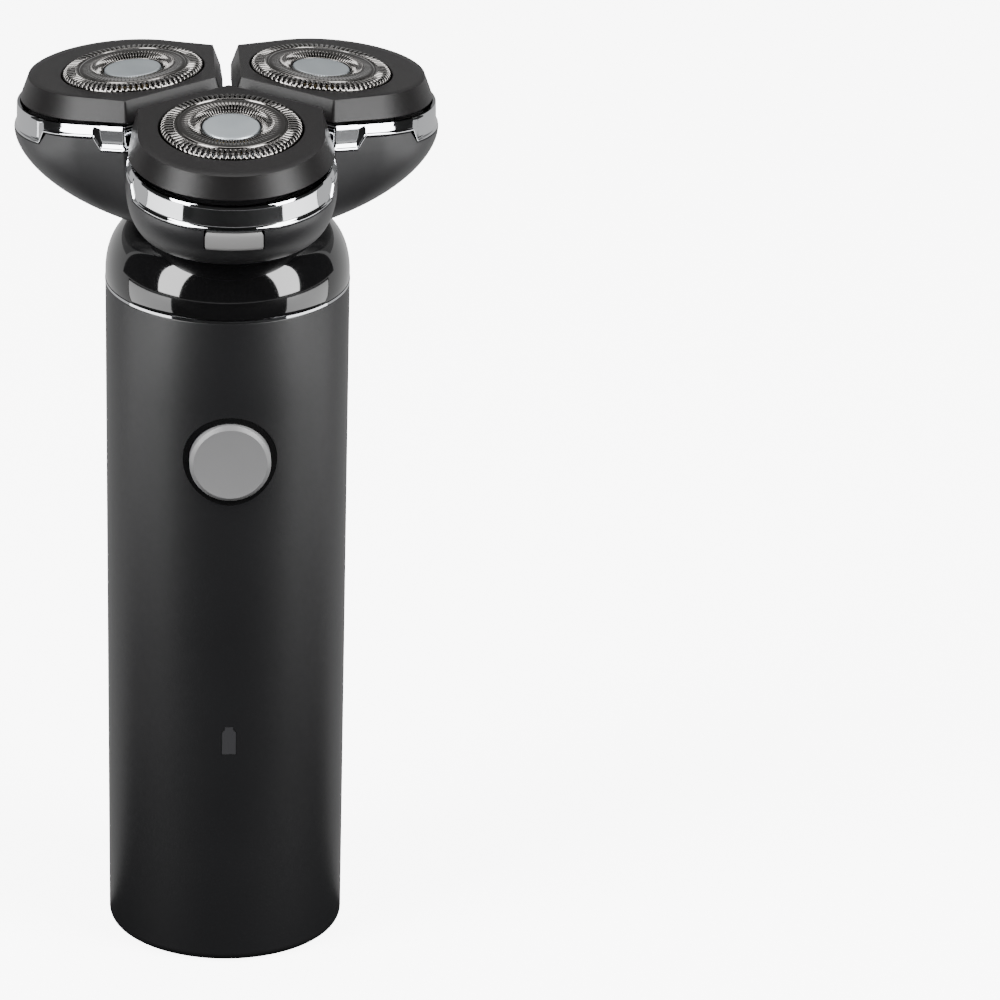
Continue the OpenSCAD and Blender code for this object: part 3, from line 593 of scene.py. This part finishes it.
def rim_rows():
    """For each column: the rim's distance from the shaver's axis, its height and the tab on it."""
    out = POD_R + RIM * math.sin(TILT)
    reach = outline_reach([(x + out, y, r) for x, y, r in
                           lobe_discs(RIM, RIM_R, RIM_SHIFT, grow=0.3)], count=SHELL_COLUMNS)
    third = SHELL_COLUMNS // 3
    fold = math.radians(FOLD_TURN)
    rows = []
    for n in range(SHELL_COLUMNS):
        turn = (n + third // 2) % third - third // 2
        a = 2 * math.pi * turn / SHELL_COLUMNS
        r = reach[turn % SHELL_COLUMNS]
        if abs(a) > fold:
            depth = (abs(a) - fold) / (math.pi / 3 - fold)
            edge = reach[int(fold / (2 * math.pi) * SHELL_COLUMNS)]
            r = edge - (edge - FOLD_R) * depth ** 0.8
        local_x = (r * math.cos(a) - out) / math.cos(TILT)
        height = COMB_Z + RIM * math.cos(TILT) - local_x * math.sin(TILT)
        along = abs(local_x - RIM_SHIFT)
        tab = max(0.0, min(1.0, (TAB_BASE - along) / (TAB_BASE - TAB_TOP))) * TAB_H
        if abs(a) < math.radians(12):
            tab = 0.0
        rows.append((r, height, tab))
    return rows


def shell_ring(places):
    """A ring of the shell from a (radius, height) for each column; the first column is in front."""
    turn = math.radians(-90)
    return [(r * math.cos(turn + 2 * math.pi * n / SHELL_COLUMNS),
             r * math.sin(turn + 2 * math.pi * n / SHELL_COLUMNS), z)
            for n, (r, z) in enumerate(places)]


SWEEP, SWEEP_STEPS = 1.84, 32
SEAT_R, ROOM_R, ROOM_Z = 9.02, 14.0, 129.4


def swept(rim, share, foot_z):
    """A point of the sweep: share 0 is the foot and 1 is the rim."""
    a = share * math.pi / 2
    out = math.sin(a) ** (2 / SWEEP)
    up = 1 - math.cos(a) ** (2 / SWEEP)
    return FOOT_R + (rim[0] - FOOT_R) * out, foot_z + (rim[1] - foot_z) * up


def inner(rim, share):
    """The inside of the sweep, a wall's thickness in from the outside."""
    r, z = swept(rim, share, FOOT_Z)
    return max(r - 1.2, SEAT_R), z + 0.8


def round_ring(radius, height):
    return shell_ring([(radius, height)] * SHELL_COLUMNS)


outer_rim = rim_rows()
rings = [round_ring(SEAT_R, FOOT_Z), round_ring(FOOT_R - 0.3, FOOT_Z)]
for step in range(SWEEP_STEPS + 1):
    share = step / SWEEP_STEPS
    rings.append(shell_ring([swept(rim, share, FOOT_Z + 0.25) for rim in outer_rim]))
rings.append(shell_ring([(r - 0.2 * tab / TAB_H, z + tab) for r, z, tab in outer_rim]))
rings.append(shell_ring([(r - 0.25 - 0.2 * tab / TAB_H, z + tab + 0.06) for r, z, tab in outer_rim]))
rings.append(shell_ring([(r - 1.35, z + tab + 0.06) for r, z, tab in outer_rim]))
rings.append(shell_ring([(r - 1.4, z - 0.3) for r, z, tab in outer_rim]))
for share in (0.9, 0.75, 0.6, 0.45):
    rings.append(shell_ring([inner(rim, share) for rim in outer_rim]))
rings += [round_ring(ROOM_R, 131.2), round_ring(ROOM_R, ROOM_Z), round_ring(SEAT_R, ROOM_Z)]
shell = link_mesh("head_shell_fine", *skin(rings, stack_closed=True), crease=38)
print("loft of the shell:", len(rings), "rings of", SHELL_COLUMNS, "points")

# %% [markdown]
# ## The shell's cuts and hinge arms
# A window in front lets the release tab through, and a notch at the back makes room for the cutter
# frame's hinge arm. Two arms beside the notch hold the hinge pin. All four are Booleans on the loft,
# because straight cuts through a round skin would need many extra rings otherwise.

# %% Cuts and arms
RELEASE_W = 9.3
HINGE_Y, HINGE_Z, KNUCKLE_R = 28.6, 135.4, 1.9
ARM_X, ARM_HALF, ARM_ROOT_Y, NOTCH_HALF = 3.8, 1.5, 15, 2.2


def block(low, high):
    (x1, y1, z1), (x2, y2, z2) = low, high
    return prism([(x1, z1), (x2, z1), (x2, z2), (x1, z2)], y1, y2)


def hinge_arm(side):
    """One of the two arms at the back that hold the ends of the hinge pin."""
    outline = ([(ARM_ROOT_Y, HINGE_Z - KNUCKLE_R)]
               + arc((HINGE_Y, HINGE_Z), KNUCKLE_R, -90, 110, 20)
               + [(ARM_ROOT_Y, HINGE_Z + KNUCKLE_R - 0.6)])
    return capped("arm", [[(side * ARM_X + x, y, z) for y, z in outline] for x in (-ARM_HALF, ARM_HALF)])


combine(shell, block((-RELEASE_W / 2 - 0.2, -40, 134.5), (RELEASE_W / 2 + 0.2, -33.5, 142)))
combine(shell, block((-NOTCH_HALF, 10, 133.1), (NOTCH_HALF, 36, 147)))
for side in (-1, 1):
    combine(shell, hinge_arm(side), "UNION")
fit_piece(shell, "head_shell")

# %% [markdown]
# ## The chrome bands
# A mirror-bright band runs round each lobe. At its foot it flares into a small bead that rests on the
# shell's rim and steps up over the flank tabs. It is a loft of the lobe's outline, pushed in by a
# different amount at each level, so the flare and the bead are real shapes that bend the reflections.

# %% Chrome bands
def step_over(x):
    """How far a flank tab lifts the band's foot, at a place along the lobe."""
    along = abs(x - RIM_SHIFT)
    return max(0.0, min(1.0, (TAB_BASE + 0.1 - along) / (TAB_BASE - TAB_TOP))) * (TAB_H + 0.1)


BAND_FOOT = RIM + 0.12
band_profile = [(0.95, 0.0), (0.12, 0.0), (0.02, 0.08), (0.0, 0.2), (0.04, 0.34), (0.18, 0.46),
                (0.30, 0.56), (0.35, 0.72), (0.42, 1.15)]
band_reach = {}


def band_ring(inset, rise, share=None):
    """A ring of the band; a share sets the height between the foot's bead and the top instead."""
    if inset not in band_reach:
        discs = lobe_discs(RIM + 0.1, RIM_R, RIM_SHIFT, grow=0.4)
        band_reach[inset] = outline_reach([(x, y, max(r - inset, 0.05)) for x, y, r in discs])
    ring = []
    for x, y, _ in lobe_ring(band_reach[inset], 0):
        low = BAND_FOOT + step_over(x) + rise
        ring.append((x, y, low if share is None else low + (BAND_TOP - low) * share))
    return ring


def chrome_band(name):
    rows = [band_ring(inset, rise) for inset, rise in band_profile]
    rows += [band_ring(0.42 + 0.3 * share, 1.1, share) for share in (0.25, 0.5, 0.75, 0.96)]
    rows += [band_ring(0.80, 1.1, 1.0), band_ring(1.25, 1.1, 1.0), band_ring(1.3, 0.3)]
    return link_mesh("chrome_band_%s_fine" % name, *skin(rows, stack_closed=True),
                     place=pod_place(name), crease=50)


for name in POD_ANGLES:
    fit_piece(chrome_band(name), "chrome_band_" + name)

# %% [markdown]
# ## The caps
# Over each band floats a black cap with a steep satin bevel and a flat matt top. The bevel meets the top
# in a crisp edge of a quarter of a millimetre. The cap is one closed loft from its hole, over the top,
# down the bevel and back underneath.

# %% Caps
CAP_R, CAP_SHIFT, CAP_INSET, HOLE_R = 16.6, 2.4, 1.6, 11.72


HOLE_TOP, SKIRT_R, SKIRT_Z = HOLE_R + 0.12, 12.75, -3.65


def cap_reach(inset):
    return outline_reach([(x, y, CAP_R - inset if r > 5 else max(r - 0.6 * inset, 0.15))
                          for x, y, r in lobe_discs(CAP_BOTTOM, CAP_R, CAP_SHIFT)])


def cap(name):
    hole = [HOLE_R] * COLUMNS
    rows = [lobe_ring(hole, SKIRT_Z), lobe_ring(hole, CAP_TOP - 0.12)]
    rows.append(lobe_ring([HOLE_TOP] * COLUMNS, CAP_TOP))
    edge = cap_reach(CAP_INSET + 0.12)
    for share in (0.25, 0.5, 0.75, 1.0):
        rows.append(lobe_ring([HOLE_TOP + (e - HOLE_TOP) * share for e in edge], CAP_TOP))
    rows.append(lobe_ring(cap_reach(CAP_INSET - 0.02), CAP_TOP - 0.05))
    wall = CAP_TOP - CAP_BOTTOM
    for share in (0.05, 0.2, 0.4, 0.6, 0.8, 0.93):
        rows.append(lobe_ring(cap_reach(CAP_INSET * (1 - share)), CAP_TOP - 0.04 - wall * share))
    rows += [lobe_ring(cap_reach(0.05), CAP_BOTTOM + 0.08), lobe_ring(cap_reach(0.2), CAP_BOTTOM),
             lobe_ring([SKIRT_R] * COLUMNS, CAP_BOTTOM), lobe_ring([SKIRT_R] * COLUMNS, SKIRT_Z)]
    points, faces = skin(rows, stack_closed=True)
    return link_mesh("cap_%s_fine" % name, points, faces, place=pod_place(name), crease=24)


for name in POD_ANGLES:
    fit_piece(cap(name), "cap_" + name)

# %% [markdown]
# ## The combs
# A comb is a thin steel dish with two raised tracks, a groove between them and a rolled rim. Fine
# slots are etched through each track, and they wrap down over its rounded edges. The dish is a grid of
# rings, and the slots are faces that are left out, so hair-thin bars of real metal stay between them.

# %% Combs
SLOTS = 75
COMB_T = 0.28
comb_profile = (
    [(4.86, -0.55), (4.95, -0.5), (5.15, -0.34), (5.40, -0.16), (5.75, -0.04), (6.1, 0), (7.0, 0),
     (8.35, 0), (8.60, 0), (8.72, -0.10), (8.80, -0.22), (9.0, -0.22), (9.08, -0.10), (9.2, 0),
     (9.3, 0), (10.5, 0)]
    + arc((10.5, -1.0), 1.0, 78, 0, 6)
    + [(11.5, -1.3), (11.5, -3.8), (12.3, -3.8), (12.3, -4.2)]
)
# the rows of the profile between which the slots of each track run
INNER_TRACK = (1, 6)
OUTER_TRACK = (13, 20)


def comb(name):
    turns = []
    for n in range(SLOTS):
        turns += [(n + part) * 2 * math.pi / SLOTS for part in (-0.25, 0.0, 0.25)]
    rows = [[(r * math.cos(a), r * math.sin(a), z) for a in turns] for r, z in comb_profile]

    def slot_here(row, column):
        in_track = INNER_TRACK[0] <= row < INNER_TRACK[1] or OUTER_TRACK[0] <= row < OUTER_TRACK[1]
        return column % 3 == 2 and in_track

    piece = link_mesh("comb_%s_fine" % name, *skin(rows, skip=slot_here), place=pod_place(name), crease=45)
    if sum(face.normal.z * face.area for face in piece.data.polygons) < 0:
        piece.data.flip_normals()
    thick = piece.modifiers.new("thickness", "SOLIDIFY")
    thick.thickness, thick.offset = COMB_T * MM, -1
    return piece


for name in POD_ANGLES:
    fit_piece(comb(name), "comb_" + name)

# %% [markdown]
# ## The discs in the combs
# A pale blue-grey disc closes the middle of each comb. It is turned, hardly domed, with a soft edge, and
# sits a little below the slotted tracks.

# %% Centre discs
disc_profile = (
    [(0, -0.40), (2.0, -0.405), (3.6, -0.42)]
    + arc((4.35, -0.74), 0.32, 95, 0, 5)
    + [(4.67, -1.0), (1.5, -1.0), (1.5, -2.6), (0, -2.6)]
)
for name in POD_ANGLES:
    disc = link_mesh("hub_disc_%s_fine" % name, *skin(turned(disc_profile, 128)), place=pod_place(name))
    fit_piece(disc, "hub_disc_" + name)

# %% [markdown]
# ## The release tab
# A small grey tab under the front bead opens the head. Its face follows the round of the rim and bulges
# a little, and every edge is rounded where a thumb presses it.

# %% Release tab
RELEASE_Z, RELEASE_H, RELEASE_DEPTH = COMB_Z - 14.2, 2.95, 3.9
RELEASE_FACE = -(POD_R + RIM_SHIFT + RIM * math.sin(TILT) + RIM_R) - 0.15


def tab_ring(inset, rise):
    """A ring of the tab, pushed in by an inset: the round front, then the flat back."""
    half = RELEASE_W / 2 - inset
    level = RELEASE_Z + rise
    ring = []
    for n in range(25):
        x = half * math.sin(math.pi * (n / 24 - 0.5))
        ring.append((x, RELEASE_FACE + inset + RIM_R - math.sqrt(RIM_R ** 2 - x * x), level))
    return ring + [(half * (1 - n / 6), RELEASE_FACE + RELEASE_DEPTH, level) for n in range(13)]


tab_rows = [tab_ring(inset, rise) for inset, rise in (
    (0.5, 0), (0.22, 0.08), (0.07, 0.25), (0.0, 0.6), (0.0, 1.9), (0.05, 2.4), (0.14, 2.7),
    (0.35, RELEASE_H))]
fit_piece(capped("release_tab_fine", tab_rows), "release_tab")

# %% [markdown]
# ## The floor, the light and the flags
# The shaver stands on a pale floor. Two tall softboxes stand left and right of the front and make the
# two window shapes in the collar, and two white cards on the floor make those in the chrome bands. A
# dark mat, a black curtain in front and a grey flag behind, none of which the camera sees, keep glossy
# black parts black between the windows, as in a studio.

# %% Floor
def plain_mesh(name, points, faces):
    mesh = bpy.data.meshes.new(name)
    mesh.from_pydata(points, [], faces)
    piece = bpy.data.objects.new(name, mesh)
    bpy.context.scene.collection.objects.link(piece)
    return piece


def paper(name, low, high, grain, glow=0.0, roughness=1.0):
    """A plain matt finish between two greys, which may glow."""
    finish = Finish(name, Roughness=roughness)
    if glow:
        finish.put(finish.shader.inputs["Emission Color"], (1, 1, 1))
        finish.put(finish.shader.inputs["Emission Strength"], glow)
    patches = finish.noise(*grain)
    finish.put(finish.shader.inputs["Base Color"], finish.between(patches, (low,) * 3, (high,) * 3))
    return finish.material


FLOOR = 6
floor = plain_mesh("floor", [(-FLOOR, -FLOOR, 0), (FLOOR, -FLOOR, 0), (FLOOR, FLOOR, 0), (-FLOOR, FLOOR, 0)],
                   [[0, 1, 2, 3]])
floor.data.materials.append(paper("floor_white", 0.86, 0.9, (3, 2), 7.0, 0.9))
floor.visible_glossy = False
floor.visible_diffuse = False
print("floor:", 2 * FLOOR, "m across")

# %% Mat and side cards
def strip(name, near, far, turns, finish, roofed=False):
    """A strip round the shaver, unseen by the camera, between two (radius, height) edges, with or
    without a flat roof on the far edge; azimuth 0 is in front of the button."""
    angles = [math.radians(a - 90) for a in turns]
    points = [(r * math.cos(a), r * math.sin(a), z) for r, z in (near, far) for a in angles]
    many = len(angles)
    faces = [[n, n + 1, many + n + 1, many + n] for n in range(many - 1)]
    if roofed:
        faces.append([many + n for n in range(many)])
    piece = plain_mesh(name, points, faces)
    piece.visible_camera = False
    piece.data.materials.append(finish)
    return piece


strip("mat", (0.0005, -0.001), (1.0, -0.001), range(-105, 106, 5), paper("mat_dark", 0.02, 0.03, (15,)))
card_white = paper("card_white", 0.5, 0.52, (15,), 1.7)
for side in (-1, 1):
    card_turns = [side * a for a in range(54, 105, 5)]
    card = strip("card_%d" % (side + 2), (0.22, 0.001), (0.8, 0.001), card_turns, card_white)
    card.visible_diffuse = False

# %% Lights
AIM_Z = 0.11


def soft_light(name, azimuth, height, distance, size, power):
    """An area light that points at the shaver's head; azimuth 0 is in front of the button."""
    data = bpy.data.lights.new(name, "AREA")
    data.shape, data.size, data.size_y, data.energy = "RECTANGLE", size[0], size[1], power
    lamp = bpy.data.objects.new(name, data)
    bpy.context.scene.collection.objects.link(lamp)
    a = math.radians(azimuth - 90)
    e = math.radians(height)
    aim = Vector((0, 0, AIM_Z))
    way = Vector((math.cos(a) * math.cos(e), math.sin(a) * math.cos(e), math.sin(e)))
    lamp.matrix_world = (Matrix.Translation(aim + way * distance)
                         @ way.to_track_quat("Z", "Y").to_matrix().to_4x4())
    return lamp


for side, name in ((-1, "softbox_left"), (1, "softbox_right")):
    soft_light(name, side * 57, 30, 0.9, (0.40, 1.2), 21)
soft_light("top", 180, 66, 1.0, (0.8, 0.4), 3)

world = bpy.data.worlds.new("studio")
bpy.context.scene.world = world
world.use_nodes = True
world.node_tree.nodes["Background"].inputs["Color"].default_value = (1, 1, 1, 1)
world.node_tree.nodes["Background"].inputs["Strength"].default_value = 0.65

# %% Curtain and grey flag
CURTAIN_R = 1.15
curtain_turns, flag_turns = range(-115, 116, 5), range(120, 241, 5)
curtain_black = paper("curtain_black", 0.012, 0.02, (20,))
strip("curtain", (CURTAIN_R, 0.0), (CURTAIN_R, 1.3), curtain_turns, curtain_black, roofed=True)
flag_grey = paper("flag_grey", 0.012, 0.02, (20,), 0.2)
strip("flag", (CURTAIN_R, 0.35), (CURTAIN_R, 1.15), flag_turns, flag_grey)
